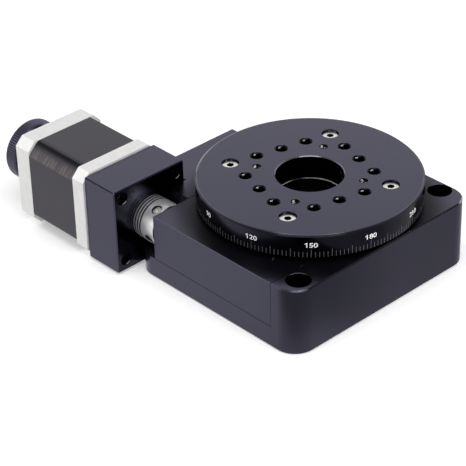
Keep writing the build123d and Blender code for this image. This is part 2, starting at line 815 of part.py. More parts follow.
def connector_pins():
    """The row of square pins in the connector socket."""
    low, high = socket_box()
    x = (low[0] + high[0]) / 2
    y = low[1] + socket_wall
    z = (low[2] + high[2]) / 2
    pin = block(-pin_size / 2, pin_size / 2, 0, pin_height, -pin_size / 2, pin_size / 2)
    return [Pos(x, y, z + pin_pitch * (i - (pin_count - 1) / 2)) * pin for i in range(pin_count)]


def knob():
    """The hand knob: a grooved disc with a dished back and a clamping hub."""
    body = turned(
        (motor_shaft_radius + seat_clearance, knob_left + knob_dish_depth),
        (knob_dish_radius, knob_left + knob_dish_depth),
        (knob_dish_radius + knob_dish_depth, knob_left),
        (knob_radius - knob_chamfer, knob_left),
        (knob_radius, knob_left + knob_chamfer),
        (knob_radius, knob_right - knob_chamfer),
        (knob_radius - knob_chamfer, knob_right),
        (knob_hub_radius, knob_right),
        (knob_hub_radius, knob_right + knob_hub_length),
        (motor_shaft_radius + seat_clearance, knob_right + knob_hub_length),
    )
    side = knob_groove_depth * math.sqrt(2)
    groove = Rot(0, 0, 45) * Box(side, side, 3 * knob_thickness)
    middle = Pos(0, 0, (knob_left + knob_right) / 2)
    grooves = [middle * place * groove for place in circle_places(knob_radius, knob_groove_count)]
    body -= grooves
    return on_drive_line(body - knob_grub_place() * rod(m3[0], 0, 2 * knob_hub_radius))


def knob_grub_place():
    """Frame of the knob's grub screw: local Z runs outwards from the shaft."""
    return Pos(0, 0, knob_right + knob_hub_length / 2) * Rot(0, 0, set_screw_angle) * Rot(0, 90, 0)


def knob_grub_screw():
    """The socket grub screw that holds the knob on the shaft."""
    low = motor_shaft_radius + seat_clearance
    high = knob_hub_radius - bottom_sink
    grub = rod(m3[0], low, high) - hex_socket(m3_grub_socket, high - m3[0], high)
    return on_drive_line(knob_grub_place() * grub)


worm_ball = small_ball(worm_bearing_bore, worm_bearing_radius)
motor_ball = small_ball(motor_shaft_radius, motor_bearing_radius)
worm_bearing = (worm_bearing_bore, worm_bearing_radius, worm_ball)
motor_bearing = (motor_shaft_radius, motor_bearing_radius, motor_ball)
main_bearing = (main_bore_radius, main_outer_radius, main_ball_radius)

save("base_body", base_body())
save("worm_housing", worm_housing())
save("housing_screws", *housing_screws())
save("motor_bracket", motor_bracket())
save("bracket_screws", *bracket_screws())
save("rotary_table", rotary_table())
save("table_screws", *table_screws())
save("table_grub_screws", *table_grub_screws())
save("table_hub", table_hub())
save("hub_nut", hub_nut())
save("worm_wheel", worm_wheel())
save("wheel_screws", *wheel_screws())
save("main_bearing_inner_ring", bearing_inner_ring(*main_bearing, main_bottom, main_top))
save("main_bearing_outer_ring", bearing_outer_ring(*main_bearing, main_bottom, main_top))
save("main_bearing_balls", *bearing_balls(*main_bearing, main_ball_count, main_bottom, main_top))
save("main_bearing_cage", bearing_cage(*main_bearing, main_ball_count, main_bottom, main_top))
save("bearing_clamp_ring", clamp_ring())
save("clamp_ring_screws", *clamp_ring_screws())
save("worm_shaft", worm_shaft())
save("worm_bearing_nut", worm_bearing_nut())
save("coupling", coupling())
save("coupling_screws", *coupling_screws())
save("motor_front_cap", motor_front_cap())
save("motor_stator", motor_stator())
save("motor_coils", *motor_coils())
save("motor_rear_cap", motor_rear_cap())
save("motor_body_screws", *motor_body_screws())
save("motor_mounting_screws", *motor_mounting_screws())
save("motor_shaft", motor_shaft())
save("motor_rotor", *motor_rotor())
save("rotor_magnet", rotor_magnet())
save("connector_socket", connector_socket())
save("connector_pins", *connector_pins())
save("knob", knob())
save("knob_grub_screw", knob_grub_screw())

for prefix, sizes, spans in (("worm", worm_bearing, worm_bearing_spans()),
                             ("motor", motor_bearing, motor_bearing_spans())):
    inner = [on_drive_line(bearing_inner_ring(*sizes, *span)) for span in spans]
    outer = [on_drive_line(bearing_outer_ring(*sizes, *span)) for span in spans]
    cages = [on_drive_line(bearing_cage(*sizes, small_ball_count, *span)) for span in spans]
    balls = [on_drive_line(ball) for span in spans for ball in bearing_balls(*sizes, small_ball_count, *span)]
    save(f"{prefix}_bearing_inner_rings", *inner)
    save(f"{prefix}_bearing_outer_rings", *outer)
    save(f"{prefix}_bearing_cages", *cages)
    save(f"{prefix}_bearing_balls", *balls)
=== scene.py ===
import math

import bmesh
import bpy
from bpy.props import FloatProperty, FloatVectorProperty, IntProperty, PointerProperty
from mathutils import Matrix, Vector


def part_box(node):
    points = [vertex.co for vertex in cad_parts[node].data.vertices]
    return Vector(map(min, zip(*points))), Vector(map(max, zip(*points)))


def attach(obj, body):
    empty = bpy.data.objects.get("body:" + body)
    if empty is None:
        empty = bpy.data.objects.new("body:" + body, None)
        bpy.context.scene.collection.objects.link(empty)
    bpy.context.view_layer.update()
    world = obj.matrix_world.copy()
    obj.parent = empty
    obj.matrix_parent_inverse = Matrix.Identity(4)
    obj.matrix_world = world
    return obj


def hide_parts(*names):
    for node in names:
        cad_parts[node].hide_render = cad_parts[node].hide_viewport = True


bl_info = {
    "name": "Rotation stage dresser",
    "version": (1, 0, 0),
    "blender": (4, 5, 0),
    "location": "View3D > Sidebar > Rotation stage",
    "description": "Finishes, dial markings, screws and studio for a motorized rotation stage",
    "category": "Object",
}

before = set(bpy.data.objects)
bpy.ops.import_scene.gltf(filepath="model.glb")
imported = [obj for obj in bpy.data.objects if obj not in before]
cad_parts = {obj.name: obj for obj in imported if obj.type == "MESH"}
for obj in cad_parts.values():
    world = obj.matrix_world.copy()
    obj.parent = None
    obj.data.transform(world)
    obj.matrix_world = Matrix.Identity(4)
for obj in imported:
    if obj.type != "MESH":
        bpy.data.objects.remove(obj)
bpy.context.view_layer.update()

MM = 0.001


def box_in_mm(node):
    """A node's lowest and highest corners, in millimetres."""
    low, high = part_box(node)
    return low / MM, high / MM


# Sizes for the pieces made here, in metres. Marks are sunk so far into the metal.
TABLE_LOW, TABLE_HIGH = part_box("rotary_table")
TABLE_RADIUS = max(TABLE_HIGH.x, TABLE_HIGH.y)
BASE_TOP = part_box("base_body")[1].z
SUNK = 0.1 * MM

# Sizes for the materials, in millimetres.
RIM_RADIUS = TABLE_RADIUS / MM
TABLE_TOP = TABLE_HIGH.z / MM
BROKEN_EDGE_WIDTH = 1.5
RIM_BORDER_WIDTH = 1.25
BORE_RADIUS = 15.0
GRUB_CIRCLE_END = 31.0
THREAD_PITCH = 1.0
HUB_TOP = box_in_mm("table_hub")[1].z
HUB_SEAM_HEIGHT = 0.55
SCREWS_TOP = box_in_mm("table_screws")[1].z
BASE_LOW, BASE_HIGH = box_in_mm("base_body")
FRONT_HOLE = (BASE_HIGH.x - 7.5, BASE_LOW.y + 9.7)
BACK_HOLE = (BASE_HIGH.x - 13.4, BASE_HIGH.y - 6.1)
HOLE_REACH = 5.916
STATOR_LOW, STATOR_HIGH = box_in_mm("motor_stator")
DRIVE_Y = (STATOR_LOW.y + STATOR_HIGH.y) / 2
DRIVE_Z = (STATOR_LOW.z + STATOR_HIGH.z) / 2
SHEET_PITCH = 0.5
BRACKET_FACE = box_in_mm("motor_bracket")[1].x
BRACKET_BORE_REACH = 16.0
BRACKET_HOLES_REACH = 19.5
COUPLING_LOW, COUPLING_HIGH = box_in_mm("coupling")
COUPLING_MIDDLE = (COUPLING_LOW.x + COUPLING_HIGH.x) / 2
COUPLING_RADIUS = 10.0
SLIT_PITCH = 1.6
SLITS_REACH = 4.7
KNOB_RADIUS = 14.75

# Bands below a top or face that hold a painted edge highlight: start, full, fading and end, in mm.
RIM_LINE = (0.02, 0.06, 0.20, 0.30)
BORE_LINE = (0.02, 0.05, 0.30, 0.40)
TAP_GLINT = (0.35, 0.55, 1.20, 1.50)
BASE_HOLE_MOUTH = (0.00, 0.03, 0.25, 0.40)
BRACKET_HOLE_MOUTH = (0.05, 0.15, 0.50, 0.80)

# Sides on which those edges carry painted highlights, as directions on the stage.
LIT_BASE_HOLE_SIDE = (0.738, -0.675, 0.0)
LIT_RIM_SIDE = (-0.9, 0.5, 0.0)
LIT_TAP_SIDE = (0.924, -0.382, 0.0)
LIT_BRACKET_HOLE_SIDE = (0.0, -0.44, 0.9)

# Bands over the stator's long corners, from its top, below zero, to its side, above zero, in mm.
SHOULDER_SHADE = (-8.5, -5.6, -4.4, -1.5)
WORN_HIGHLIT_CORNER = (-2.6, 1.2, 5.4, 6.0)

# Painted shadow under the rim: its middle on the base, and how far past the rim it fades, in mm.
SHADE_MIDDLE = (7.0, -6.4)
SHADE_REACH = 13.0

# Painted glow on the bracket's face: middle from the drive line, and between which radii it fades.
GLOW_MIDDLE = (-5.7, 16.0)
GLOW_REACH = (1.0, 9.0)

# Directions on the floor, to the picture's right and towards its viewer.
RIGHTWARD = (0.72, 0.69, 0.0)
FORWARD = (0.69, -0.72, 0.0)

# Colours of worn, cut and stained places, and of painted highlights, glints and shade.
BARE_METAL = (0.40, 0.40, 0.43)
EDGE_HIGHLIGHT = (0.42, 0.42, 0.46)
THREAD_HIGHLIGHT = (0.30, 0.30, 0.33)
CUT_SEAM_HIGHLIGHT = (0.80, 0.80, 0.80)
HIGHLIGHT_BRIGHT = (0.80, 0.80, 0.82)
GLINT = (0.90, 0.90, 0.92)
CAP_STAIN = (0.86, 0.825, 0.76)
WORN_LACQUER_AND_HIGHLIGHT = (0.24, 0.21, 0.195)
WORN_PAINT = (0.12, 0.12, 0.13)
GRUB_SHADE = (0.03, 0.03, 0.032)
HEAD_SHADE = (0.012, 0.012, 0.013)
CAVITY_SHADE = (0.006, 0.006, 0.008)
WHITE = (1.0, 1.0, 1.0)


class DialSizes(bpy.types.PropertyGroup):
    """Sizes of the marks on the table's rim."""

    first_angle: FloatProperty(
        name="Zero mark", description="Angle of the zero mark about the table's axis",
        default=math.radians(-194.45), subtype="ANGLE")
    step: IntProperty(name="Step", description="Degrees from mark to mark", default=2, min=1)
    number_step: IntProperty(
        name="Number step", description="Degrees from number to number", default=30, min=5)
    foot: FloatProperty(
        name="Foot", description="Height of the marks' feet above the rim's lower edge",
        default=0.45 * MM, unit="LENGTH")
    short_top: FloatProperty(
        name="Short mark", description="Height of a short mark's top above the rim's lower edge",
        default=3.0 * MM, unit="LENGTH")
    long_top: FloatProperty(
        name="Long mark", description="Height of a long mark's top above the rim's lower edge",
        default=4.2 * MM, unit="LENGTH")
    width: FloatProperty(
        name="Width", description="Width of a mark", default=0.24 * MM, unit="LENGTH")
    number_foot: FloatProperty(
        name="Number foot", description="Height of the numbers' feet above the rim's lower edge",
        default=5.2 * MM, unit="LENGTH")
    number_height: FloatProperty(
        name="Number height", description="Height of the figures", default=2.25 * MM, unit="LENGTH")
    number_stretch: FloatProperty(
        name="Number stretch", description="Width of the figures against the plain font",
        default=1.18, min=0.5, max=2)
    paint: FloatProperty(
        name="Paint", description="How far the paint stands out of the metal",
        default=0.015 * MM, unit="LENGTH")


class FinishColours(bpy.types.PropertyGroup):
    """Colours that a user may change."""

    anodise: FloatVectorProperty(
        name="Anodise", description="Dyed aluminium of the base, bracket and table",
        default=(0.077, 0.075, 0.109), subtype="COLOR", min=0, max=1)
    bright: FloatVectorProperty(
        name="Bright aluminium", description="Turned aluminium of the coupling",
        default=(0.97, 0.97, 0.99), subtype="COLOR", min=0, max=1)
    cap: FloatVectorProperty(
        name="Motor caps", description="Brushed caps of the motor",
        default=(0.84, 0.835, 0.83), subtype="COLOR", min=0, max=1)
    stator: FloatVectorProperty(
        name="Stator", description="Lacquer on the motor's laminations",
        default=(0.078, 0.074, 0.086), subtype="COLOR", min=0, max=1)
    steel: FloatVectorProperty(
        name="Steel", description="Bright screws",
        default=(0.95, 0.94, 0.90), subtype="COLOR", min=0, max=1)
    paint: FloatVectorProperty(
        name="Paint", description="Numbers on the rim",
        default=(0.88, 0.88, 0.86), subtype="COLOR", min=0, max=1)


class StudioSettings(bpy.types.PropertyGroup):
    """Camera and lamps."""

    eye: FloatVectorProperty(
        name="Eye", description="Camera's place",
        default=(0.50902, -0.51177, 0.47683), subtype="TRANSLATION")
    azimuth: FloatProperty(
        name="Azimuth", description="Camera's direction in plan",
        default=math.radians(47.541), subtype="ANGLE")
    elevation: FloatProperty(
        name="Elevation", description="Camera's direction above level",
        default=math.radians(32.677), subtype="ANGLE")
    roll: FloatProperty(
        name="Roll", description="Camera's turn about its own line of sight",
        default=math.radians(-1.520), subtype="ANGLE")
    view: FloatProperty(
        name="View", description="Width of the picture at a distance of one",
        default=466 / 1938.264, min=0.01)
    top_power: FloatProperty(
        name="Top lamp", description="Power of the lamp overhead", default=3.6, unit="POWER")
    front_power: FloatProperty(
        name="Front lamp", description="Power of the lamp at the left front",
        default=2.2, unit="POWER")
    side_power: FloatProperty(
        name="Side lamp", description="Power of the lamp at the right", default=4.5, unit="POWER")


class Wire:
    """A socket's value. Arithmetic on it adds Math nodes to the same tree."""

    def __init__(self, nodes, socket):
        self.nodes = nodes
        self.socket = socket

    def math(self, operation, *values):
        """One Math node on this value and others."""
        inputs = dict(enumerate((self,) + values))
        return self.nodes.add("ShaderNodeMath", {"operation": operation}, inputs)

    def turned(self, operation, value):
        """One Math node with the other value first."""
        return self.nodes.add("ShaderNodeMath", {"operation": operation}, {0: value, 1: self})

    def __add__(self, value):
        return self.math("ADD", value)

    def __radd__(self, value):
        return self.turned("ADD", value)

    def __sub__(self, value):
        return self.math("SUBTRACT", value)

    def __rsub__(self, value):
        return self.turned("SUBTRACT", value)

    def __mul__(self, value):
        return self.math("MULTIPLY", value)

    def __rmul__(self, value):
        return self.turned("MULTIPLY", value)

    def __truediv__(self, value):
        return self.math("DIVIDE", value)

    def __rtruediv__(self, value):
        return self.turned("DIVIDE", value)

    def __abs__(self):
        return self.math("ABSOLUTE")

    def __lt__(self, value):
        return self.math("LESS_THAN", value)

    def __gt__(self, value):
        return self.math("GREATER_THAN", value)

    def part(self, name):
        """Another output of the same node."""
        return Wire(self.nodes, self.socket.node.outputs[name])

    def ramp(self, low, high):
        """0 at low, 1 at high, smooth between."""
        return self.nodes.add(
            "ShaderNodeMapRange", {"interpolation_type": "SMOOTHSTEP"},
            {"Value": self, "From Min": low, "From Max": high, "To Min": 0.0, "To Max": 1.0})

    def band(self, start, full, fading, end):
        """0 at start, 1 from full to fading, 0 again at end, smooth between."""
        return self.ramp(start, full) * (1 - self.ramp(fading, end))

    def along(self, direction):
        """How far a vector reaches along a direction."""
        return self.nodes.add(
            "ShaderNodeVectorMath", {"operation": "DOT_PRODUCT"}, {0: self, 1: direction}, "Value")


def length(first, second):
    """Length of a vector from its two parts."""
    return (first * first + second * second).math("SQRT")


class NodeTree:
    """A node tree and the one method that adds its nodes."""

    def __init__(self, owner):
        owner.use_nodes = True
        self.tree = owner.node_tree
        self.tree.nodes.clear()

    def add(self, kind, settings, inputs, output=0):
        """Add a node of a type, set it, then give its sockets values or links."""
        node = self.tree.nodes.new(kind)
        for name, value in settings.items():
            setattr(node, name, value)
        for name, value in inputs.items():
            if isinstance(value, Wire):
                self.tree.links.new(value.socket, node.inputs[name])
            else:
                node.inputs[name].default_value = value
        return Wire(self, node.outputs[output]) if len(node.outputs) else None

    def scaled(self, vector, factor):
        """A colour or a place, scaled by a number."""
        return self.add(
            "ShaderNodeVectorMath", {"operation": "SCALE"}, {0: vector, "Scale": factor})

    def mix(self, share, first, second):
        """Mix two colours. The Mix node's colour sockets are 6 and 7, and its output 2."""
        first, second = [
            (*colour, 1.0) if isinstance(colour, tuple) else colour for colour in (first, second)]
        return self.add("ShaderNodeMix", {"data_type": "RGBA"}, {0: share, 6: first, 7: second}, 2)


class Finish(NodeTree):
    """A procedural material, with its place in millimetres and its facing as values."""

    def __init__(self, name):
        self.material = bpy.data.materials.new(name)
        super().__init__(self.material)
        place = self.add("ShaderNodeTexCoord", {}, {}, "Object")
        self.place = self.scaled(place, 1 / MM)
        self.x = self.add("ShaderNodeSeparateXYZ", {}, {0: self.place}, "X")
        self.y = self.x.part("Y")
        self.z = self.x.part("Z")
        self.normal = self.add("ShaderNodeNewGeometry", {}, {}, "Normal")
        self.normal_x = self.add("ShaderNodeSeparateXYZ", {}, {0: self.normal}, "X")
        self.normal_y = self.normal_x.part("Y")
        self.normal_z = self.normal_x.part("Z")

    def noise(self, scale, detail=3.0, rough=0.5, stretch=(1, 1, 1)):
        """Noise from 0 to 1, its scale in 1/mm, stretched along some axes."""
        spot = self.add(
            "ShaderNodeVectorMath", {"operation": "MULTIPLY"}, {0: self.place, 1: stretch})
        return self.add("ShaderNodeTexNoise", {}, {
            "Vector": spot, "Scale": scale, "Detail": detail, "Roughness": rough}, "Fac")

    def rings(self, value, scale, detail=4.0, rough=0.6):
        """Noise from 0 to 1 along one value only, as a lathe tool leaves it."""
        return self.add("ShaderNodeTexNoise", {"noise_dimensions": "1D"}, {
            "W": value, "Scale": scale, "Detail": detail, "Roughness": rough}, "Fac")

    def bump(self, height, distance):
        """A normal from a height between 0 and 1, its distance in mm."""
        return self.add("ShaderNodeBump", {}, {"Height": height, "Distance": distance * MM})

    def solid(self, colour, roughness, metallic, normal=None):
        """Finish the material with one shader."""
        inputs = {"Base Color": colour, "Roughness": roughness, "Metallic": metallic}
        if normal is not None:
            inputs["Normal"] = normal
        shader = self.add("ShaderNodeBsdfPrincipled", {}, inputs)
        self.add("ShaderNodeOutputMaterial", {}, {"Surface": shader})
        return self.material

    def across_drive(self):
        """How far a place lies from the drive line, sideways and up."""
        return self.y - DRIVE_Y, self.z - DRIVE_Z

    def level(self):
        """1 on level faces."""
        return abs(self.normal_z).ramp(0.9, 0.98)

    def upright(self):
        """1 on upright faces."""
        return 1 - abs(self.normal_z).ramp(0.2, 0.4)

    def end(self):
        """1 on faces that the drive line crosses squarely."""
        return abs(self.normal_x).ramp(0.9, 0.97)

    def chamfer(self):
        """1 on faces that slope between level and upright, as broken edges do."""
        return abs(self.normal_z).band(0.35, 0.6, 0.82, 0.95)


def setting(name):
    """A colour from the scene's settings."""
    return tuple(getattr(bpy.context.scene.stage_finishes, name))


def anodised(name, shape, front=0.0, side=0.0, end=0.0, scuff=0.0):
    """Dyed, bead-blasted aluminium with faint handling marks.

    Its broken edges get painted highlight or shade by front and side on those sides, its ends
    painted shade by end, and scuff is how dull its streaks are. shape gives what one piece has of
    its own: painted light and shade, where a painted highlight lies, and how much duller it is.
    """
    finish = Finish(name)
    cloud = finish.noise(0.035)
    grain = finish.noise(5.0, 2.0)
    edges = finish.chamfer()
    sideways = abs(finish.normal_x) / (abs(finish.normal_x) + abs(finish.normal_y) + 0.001)
    beside = sideways.ramp(0.70, 0.90)
    corner = sideways.band(0.38, 0.50, 0.70, 0.90)
    # Painted highlight or shade on broken edges, set by front and side, and a painted highlight at
    # corners.
    edge_light_and_shade = front * (1 - beside) + side * beside + corner * 3.0
    shade, wear_and_highlight, dull = shape(finish)
    tone = (0.93 + 0.08 * cloud + 0.06 * grain) * (1 + edges * edge_light_and_shade)
    # Painted shade on the end faces, and the piece's own painted light and shade.
    tone = tone * (1 - finish.end() * end) * shade
    worn = finish.noise(0.55, 4.0, 0.6).ramp(0.62, 0.74) * edges
    colour = finish.mix(worn * 0.35, finish.scaled(setting("anodise"), tone), BARE_METAL)
    # Painted highlight where the piece's shape puts one.
    colour = finish.mix(wear_and_highlight, colour, HIGHLIGHT_BRIGHT)
    streak = finish.noise(0.10, 4.0, 0.6, (0.5, 0.22, 1.0)).ramp(0.60, 0.78)
    gloss = 0.14 + 0.05 * cloud + 0.04 * grain + dull + streak * scuff
    height = grain + 0.6 * finish.noise(12.0, 1.0)
    return finish.solid(colour, gloss, 1 - wear_and_highlight * 0.9, finish.bump(height, 0.002))


def under_the_rim(finish):
    """Painted rim shadow on the base's top, and painted highlights in its holes' mouths."""
    radius = length(finish.x - SHADE_MIDDLE[0], finish.y - SHADE_MIDDLE[1])
    top_face = finish.normal_z.ramp(0.9, 0.98)
    # Painted shadow of the table's rim, darkest near the rim.
    near = top_face * (1 - radius.ramp(RIM_RADIUS, RIM_RADIUS + SHADE_REACH))
    holes = sum(
        length(finish.x - x, finish.y - y) < HOLE_REACH for x, y in (FRONT_HOLE, BACK_HOLE))
    # Painted highlight on one side of the holes' mouths.
    mouth = (BASE_HIGH.z - finish.z).band(*BASE_HOLE_MOUTH) * finish.upright()
    lit_arc = finish.normal.along(LIT_BASE_HOLE_SIDE).ramp(0.55, 0.95)
    return 1 - near * 0.83, mouth * lit_arc * holes * 0.45, near * 0.22


def knurled(finish):
    """The knob's knurl: painted shade in its grooves and painted highlights on its crests."""
    radius = length(*finish.across_drive())
    crest = radius.ramp(KNOB_RADIUS - 0.15, KNOB_RADIUS - 0.01)
    rim = radius.ramp(KNOB_RADIUS - 0.75, KNOB_RADIUS - 0.55)
    rim = rim * (1 - abs(finish.normal_x).ramp(0.3, 0.5))
    # Painted highlight on the crests, painted shade in the grooves.
    return 1 + rim * (crest * 2.2 - 0.8), 0.0, 0.0


def bracket_shape(finish):
    """Painted highlights in the mounting holes' mouths, and a painted glow on the face."""
    across, up = finish.across_drive()
    walls = 1 - abs(finish.normal_x).ramp(0.2, 0.4)
    holes = (length(across, up) > BRACKET_BORE_REACH) * (abs(across) < BRACKET_HOLES_REACH)
    holes = holes * (abs(up) < BRACKET_HOLES_REACH)
    mouth = (BRACKET_FACE - finish.x).band(*BRACKET_HOLE_MOUTH) * walls * holes
    # Painted highlight on the lower walls of the holes' mouths.
    lower = finish.normal.along(LIT_BRACKET_HOLE_SIDE).ramp(0.85, 0.98)
    # Painted soft glow, on the end face only.
    glow = 1 - length(across - GLOW_MIDDLE[0], up - GLOW_MIDDLE[1]).ramp(*GLOW_REACH)
    return 1 + glow * finish.end() * 2.6, mouth * lower * 0.7, 0.0


def hub_finish(name):
    """Anodised hub: painted shade in its bore; its upper bore edge bare, with a painted highlight.
    """
    finish = Finish(name)
    inside = length(finish.x, finish.y) < BORE_RADIUS + 1
    seam = inside * (HUB_TOP - finish.z < HUB_SEAM_HEIGHT)
    # Painted shade inside the bore below the seam.
    bore = inside * (1 - seam)
    tone = 0.93 + 0.08 * finish.noise(0.035)
    colour = finish.mix(bore * 0.85, finish.scaled(setting("anodise"), tone), CAVITY_SHADE)
    # The seam's edge is bare cut metal, painted brighter as a highlight.
    seam_cut_and_highlight = seam * finish.noise(0.12, 2.0).ramp(0.30, 0.55)
    colour = finish.mix(seam_cut_and_highlight, colour, CUT_SEAM_HIGHLIGHT)
    return finish.solid(colour, 0.24 + 0.05 * finish.noise(5.0, 2.0), 1 - seam * 0.9)


def table_finish(name):
    """Anodised table: lathe lines, painted shade in holes and on the rim, painted edge highlights.
    """
    finish = Finish(name)
    radius = length(finish.x, finish.y)
    depth = TABLE_TOP - finish.z
    cloud = finish.noise(0.04)
    grain = finish.noise(5.0, 2.0)
    turning = finish.rings(radius, 3.0)
    inside = radius < RIM_RADIUS - BROKEN_EDGE_WIDTH
    outside = 1 - inside
    beyond_bore = radius > BORE_RADIUS + BROKEN_EDGE_WIDTH

    # Painted shade: the rim is darker than the top, and the holes are dark inside.
    side_tone = 1 - finish.upright() * outside * 0.55 - finish.chamfer() * outside * 0.55
    tone = (0.92 + 0.08 * cloud + 0.05 * grain + 0.05 * turning) * side_tone
    cavity = depth.ramp(0.01, 0.06) * inside
    colour = finish.mix(cavity * 0.93, finish.scaled(setting("anodise"), tone), CAVITY_SHADE)

    # Painted highlights on thread crests in the first turns of the taps.
    thread = (finish.z * (2 * math.pi / THREAD_PITCH)).math("SINE").ramp(0.55, 0.95)
    taps = beyond_bore * inside * (depth > 0.6) * (1 - depth.ramp(2.2, 3.2))
    patchy = finish.noise(0.5, 2.0).ramp(0.45, 0.65)
    colour = finish.mix(thread * taps * patchy * 0.5, colour, THREAD_HIGHLIGHT)

    # Painted highlights on broken edges: the rim's, its border on the top, and the bore's.
    lit_side = finish.normal.along(LIT_RIM_SIDE).ramp(0.1, 0.6)
    rim_line = depth.band(*RIM_LINE) * outside * (0.30 + 0.35 * lit_side)
    border = (radius > RIM_RADIUS - RIM_BORDER_WIDTH) * (1 - depth.ramp(0.0, 0.01))
    border = border * finish.place.along(LIT_RIM_SIDE).ramp(16.0, 34.0)
    bore_line = depth.band(*BORE_LINE) * (radius < BORE_RADIUS + 0.8)
    lines = rim_line + bore_line * 0.45 + border * 0.6
    colour = finish.mix(lines, colour, EDGE_HIGHLIGHT)

    # Painted glints on one side of the taps and the grub screws' holes.
    glint = finish.normal.along(LIT_TAP_SIDE).ramp(0.955, 0.985) * depth.band(*TAP_GLINT)
    glint = glint * beyond_bore * (radius < GRUB_CIRCLE_END)
    colour = finish.mix(glint, colour, GLINT)

    rough = 0.14 + 0.05 * cloud + 0.04 * turning
    height = 0.6 * grain + turning * finish.level()
    return finish.solid(colour, rough, 1 - glint * 0.9, finish.bump(height, 0.002))


def brushed_cap(name):
    """Cast and brushed cap: fine scratches, a mottled tone and whiter corners."""
    finish = Finish(name)
    level = finish.level()
    along = finish.noise(0.9, 4.0, 0.65, (4.0, 0.30, 0.30))
    down = finish.noise(0.9, 4.0, 0.65, (2.0, 4.0, 0.22))
    scratch = along * level + down * (1 - level)
    mottle = finish.noise(0.22, 4.0, 0.6)
    corner = abs(finish.normal_y).band(0.3, 0.5, 0.9, 0.98)
    tone = 0.78 + 0.24 * scratch + 0.16 * mottle + 0.12 * corner
    colour = finish.mix(mottle.ramp(0.50, 0.70) * 0.45, setting("cap"), CAP_STAIN)
    rough = 0.38 + 0.16 * scratch + 0.06 * mottle
    return finish.solid(finish.scaled(colour, tone), rough, 0.3, finish.bump(scratch, 0.012))


def laminated(name):
    """Lacquered laminations: sheet lines, painted shade on the near shoulder, worn highlit corners.
    """
    finish = Finish(name)
    across, up = finish.across_drive()
    sheet = (finish.x * (2 * math.pi / SHEET_PITCH)).math("SINE") * 0.5 + 0.5
    cloud = finish.noise(0.08)
    round_corner = abs(across) - abs(up)  # zero on the corner's diagonal
    # Painted shade on the near shoulder; the round corner is worn and carries a painted highlight.
    shoulder = round_corner.band(*SHOULDER_SHADE) * (across < 0)
    wear_and_highlight = round_corner.band(*WORN_HIGHLIT_CORNER)
    streak = finish.noise(0.9, 5.0, 0.65, (2.2, 0.12, 0.12))
    tone = (0.92 + 0.12 * cloud + 0.05 * sheet) * (1 - shoulder * 0.70)
    share = wear_and_highlight * (0.10 + 0.9 * streak.ramp(0.35, 0.70)) * 0.6
    colour = finish.mix(share, finish.scaled(setting("stator"), tone), WORN_LACQUER_AND_HIGHLIGHT)
    rough = 0.26 + 0.08 * cloud + 0.1 * wear_and_highlight
    return finish.solid(colour, rough, 1.0, finish.bump(sheet * 0.4 + streak * wear_and_highlight, 0.004))


def turned_metal(name, colour, rough=0.22):
    """Metal turned about the drive line, with fine rings along it."""
    finish = Finish(name)
    ring = finish.rings(finish.x, 4.2, rough=0.65)
    cloud = finish.noise(0.3)
    shade = finish.scaled(colour, 0.93 + 0.06 * ring + 0.04 * cloud)
    return finish.solid(shade, rough + 0.05 * ring + 0.03 * cloud, 1.0, finish.bump(ring, 0.002))


def coupling_finish(name):
    """Satin turned aluminium, with painted shade in the slits and on the coils' edges beside them.
    """
    finish = Finish(name)
    radius = length(*finish.across_drive())
    ring = finish.rings(finish.x, 3.0, 3.0)
    inside = 1 - radius.ramp(COUPLING_RADIUS - 0.25, COUPLING_RADIUS - 0.05)
    along = finish.x - COUPLING_MIDDLE
    slits = (along * (2 * math.pi / SLIT_PITCH)).math("COSINE").ramp(0.6, -0.4)
    slits = slits * (abs(along) < SLITS_REACH)
    # Painted shade inside the slits and in bands over them.
    dark = inside * 0.95 + slits * (1 - inside) * 0.85
    colour = finish.mix(dark, finish.scaled(setting("bright"), 0.95 + 0.05 * ring), CAVITY_SHADE)
    return finish.solid(colour, 0.26 + 0.06 * ring, 0.80)


def screw_head(name, top):
    """A screw whose socket and sides get painted shade below the height of its top face."""
    finish = Finish(name)
    fine = finish.noise(4.0)
    cloud = finish.noise(0.35)
    sunk = (top - finish.z).ramp(0.15, 0.45)
    shade = finish.scaled(setting("steel"), 0.93 + 0.08 * cloud + 0.04 * fine)
    rough = 0.22 + 0.08 * cloud + 0.04 * fine
    return finish.solid(finish.mix(sunk * 0.95, shade, HEAD_SHADE), rough, 1.0, finish.bump(fine, 0.003))


def plain_metal(name, colour, rough, metallic=1.0):
    """Machined or ground metal with a little tone and stain."""
    finish = Finish(name)
    fine = finish.noise(4.0)
    cloud = finish.noise(0.35)
    shade = finish.scaled(colour, 0.92 + 0.08 * cloud + 0.06 * fine)
    rough = rough + 0.12 * cloud + 0.06 * fine
    return finish.solid(shade, rough, metallic, finish.bump(fine, 0.01))


def glinting(name, colour):
    """Screw ends in painted shade, with painted glints on their sockets and threads here and there.
    """
    finish = Finish(name)
    spots = finish.noise(0.9, 3.0, 0.6).ramp(0.46, 0.60)
    shade = finish.mix(spots, GRUB_SHADE, colour)
    return finish.solid(shade, 0.25 + 0.1 * finish.noise(4.0, 2.0), 1 - spots * 0.7)


def moulded(name, colour):
    """Moulded plastic with a fine grain."""
    finish = Finish(name)
    grain = finish.noise(3.0)
    shade = finish.scaled(colour, 0.85 + 0.25 * finish.noise(0.2, 2.0))
    return finish.solid(shade, 0.42 + 0.12 * grain, 0.0, finish.bump(grain, 0.02))


def painted(name, colour, wear):
    """Paint filled into an engraved mark, thinner in places."""
    finish = Finish(name)
    thin = finish.noise(2.2, 4.0, 0.65).ramp(0.50, 0.75)
    shade = finish.mix(thin * wear, colour, WORN_PAINT)
    return finish.solid(shade, 0.55, 0.0, finish.bump(finish.noise(6.0, 2.0), 0.01))


def dress(material, *nodes):
    """Give CAD nodes a material."""
    for node in nodes:
        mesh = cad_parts[node].data
        mesh.materials.clear()
        mesh.materials.append(material)


